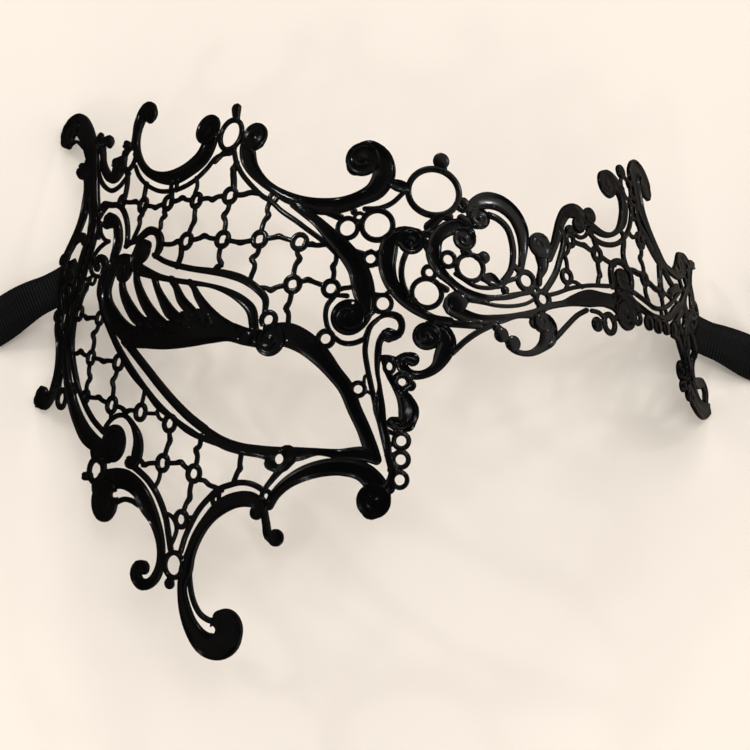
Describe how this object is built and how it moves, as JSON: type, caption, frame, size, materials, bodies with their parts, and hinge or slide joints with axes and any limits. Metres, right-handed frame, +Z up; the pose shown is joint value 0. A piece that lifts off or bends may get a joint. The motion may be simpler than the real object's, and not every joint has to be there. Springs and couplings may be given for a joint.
{
  "type": "masquerade mask",
  "caption": "Asymmetric openwork half mask of black enamelled metal filigree, scrolls and netting around one eye opening, with a ribbed black ribbon at each temple.",
  "frame": {"origin": "centre of the mask's bounding box on the surface it lies on, the ribbons left out", "axes": "+X from the wearer's right temple to the left one, +Y from the chin side to the crown, +Z up out of the face; the mask lies face up on three scrolls"},
  "size_m": [0.3779, 0.1628, 0.0716],
  "materials": {
    "enamel": "glossy black enamel",
    "ribbon": "cross-ribbed black grosgrain, satin"
  },
  "bodies": {
    "root": {"mask": "enamel", "ribbon_left": "ribbon", "ribbon_left_coil": "ribbon", "ribbon_right": "ribbon", "ribbon_right_coil": "ribbon"}
  },
  "joints": []
}
